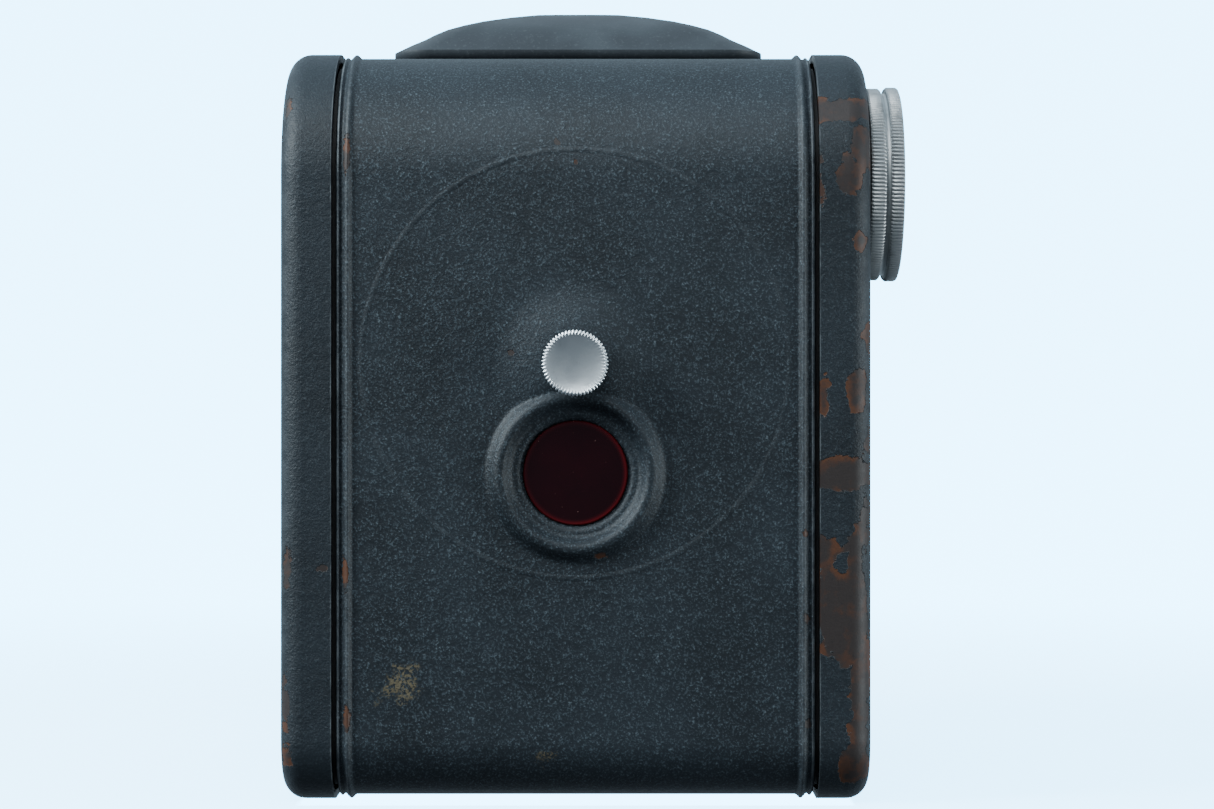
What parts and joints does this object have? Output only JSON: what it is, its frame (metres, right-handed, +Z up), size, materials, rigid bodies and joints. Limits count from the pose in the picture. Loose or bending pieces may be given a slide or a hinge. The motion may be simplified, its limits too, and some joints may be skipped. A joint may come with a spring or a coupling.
{
  "type": "box camera",
  "caption": "Pressed-metal roll-film camera with a reflecting finder: hinged back door with a blind over its red window, lidded finder, knurled winding knob.",
  "frame": {"origin": "mouth of the tripod socket, in the plane that the camera stands on", "axes": "+Z up, +X towards the winding knob, +Y towards the lens, -Y out of the back door"},
  "size_m": [0.0892, 0.1006, 0.1186],
  "materials": {
    "enamel": "fine crystalline enamel",
    "worn_enamel": "fine crystalline enamel, chipped to brown metal",
    "door_enamel": "fine crystalline enamel, worn along the beads",
    "shell_enamel": "fine crystalline enamel",
    "inner_black": "matt black",
    "lid_satin": "smooth satin",
    "screw_steel": "blackened",
    "pin_steel": "turned",
    "spring_steel": "blued",
    "gate_metal": "satin black",
    "bush_brass": "turned",
    "mirror_silver": "front silvered",
    "clear_glass": "polished",
    "front_nickel": "aged nickel",
    "ring_black": "satin black",
    "collar_brass": "tarnished",
    "red_window": "deep red, glossy",
    "knob_nickel": "knurled nickel",
    "winder_nickel": "tarnished nickel, coin edge",
    "blind_steel": "matt black",
    "spool_metal": "black lacquer",
    "roller_nickel": "plain nickel",
    "lever_nickel": "aged nickel"
  },
  "bodies": {
    "case": {"left_cheek": "enamel", "right_cheek": "worn_enamel", "left_side_plate": "inner_black", "right_side_plate": "inner_black", "cheek_screws": "screw_steel", "front_shell": "shell_enamel", "door_hinge_pin": "pin_steel", "catch_studs": "pin_steel", "film_gate": "gate_metal", "light_cone": "inner_black", "roller_pins": "pin_steel", "take_up_pivot": "pin_steel", "winder_bush": "bush_brass", "anti_reverse_spring": "spring_steel", "supply_pins": "pin_steel", "supply_spring": "spring_steel", "finder_housing": "inner_black", "finder_mirror": "mirror_silver", "finder_objective": "clear_glass", "finder_bezel": "front_nickel", "finder_field_lens": "clear_glass", "finder_frame": "collar_brass", "lid_hinge_pin": "pin_steel", "lens_mount": "front_nickel", "lens_glass": "clear_glass", "lens_ring": "ring_black", "shutter_plate": "gate_metal", "shutter_posts": "pin_steel", "sector_pivot": "pin_steel", "lever_pivot": "pin_steel", "lever_spring": "spring_steel", "selector_guide": "gate_metal", "tripod_bush": "bush_brass"},
    "door": {"back_door": "door_enamel", "catch_clips": "spring_steel", "red_window": "red_window", "pressure_plate": "gate_metal", "pressure_springs": "spring_steel"},
    "blind": {"blind_knob": "knob_nickel", "blind_disc": "blind_steel"},
    "lid": {"finder_lid": "lid_satin"},
    "spool": {"take_up_spool": "spool_metal"},
    "winder": {"winding_shaft": "pin_steel", "winding_knob": "winder_nickel"},
    "upper_roller": {"upper_roller": "roller_nickel"},
    "lower_roller": {"lower_roller": "roller_nickel"},
    "sector": {"shutter_sector": "blind_steel"},
    "lever": {"release_lever": "lever_nickel"},
    "selector": {"time_selector": "lever_nickel"}
  },
  "joints": [
    {"name": "door_hinge", "type": "hinge", "parent": "case", "child": "door", "pos_m": [0, -0.023, 0.0019], "axis": [1, 0, 0], "range_deg": [0, 100]},
    {"name": "blind_turn", "type": "hinge", "parent": "door", "child": "blind", "pos_m": [0, -0.043, 0.0626], "axis": [0, 1, 0], "range_deg": [0, 60]},
    {"name": "lid_hinge", "type": "hinge", "parent": "case", "child": "lid", "pos_m": [0, 0.0349, 0.111], "axis": [-1, 0, 0], "range_deg": [0, 100]},
    {"name": "spool_turn", "type": "hinge", "parent": "case", "child": "spool", "pos_m": [0, -0.025, 0.0893], "axis": [1, 0, 0], "continuous": true},
    {"name": "winder_pull", "type": "slide", "parent": "spool", "child": "winder", "axis": [1, 0, 0], "range_m": [0, 0.0045]},
    {"name": "upper_roller_turn", "type": "hinge", "parent": "case", "child": "upper_roller", "pos_m": [0, -0.0384, 0.083], "axis": [1, 0, 0], "continuous": true},
    {"name": "lower_roller_turn", "type": "hinge", "parent": "case", "child": "lower_roller", "pos_m": [0, -0.0384, 0.019], "axis": [1, 0, 0], "continuous": true},
    {"name": "lever_turn", "type": "hinge", "parent": "case", "child": "lever", "pos_m": [0.014, 0.038, 0.06], "axis": [0, 1, 0], "range_deg": [0, 30], "stiffness_Nm_per_rad": 0.004, "springref_deg": -34.38},
    {"name": "sector_turn", "type": "hinge", "parent": "case", "child": "sector", "pos_m": [-0.012, 0.036, 0.051], "axis": [0, 1, 0], "range_deg": [0, 60]},
    {"name": "selector_slide", "type": "slide", "parent": "case", "child": "selector", "axis": [0, 0, 1], "range_m": [0, 0.005]}
  ],
  "couplings": [
    {"joint": "sector_turn", "follows": "lever_turn", "ratio": 2}
  ]
}
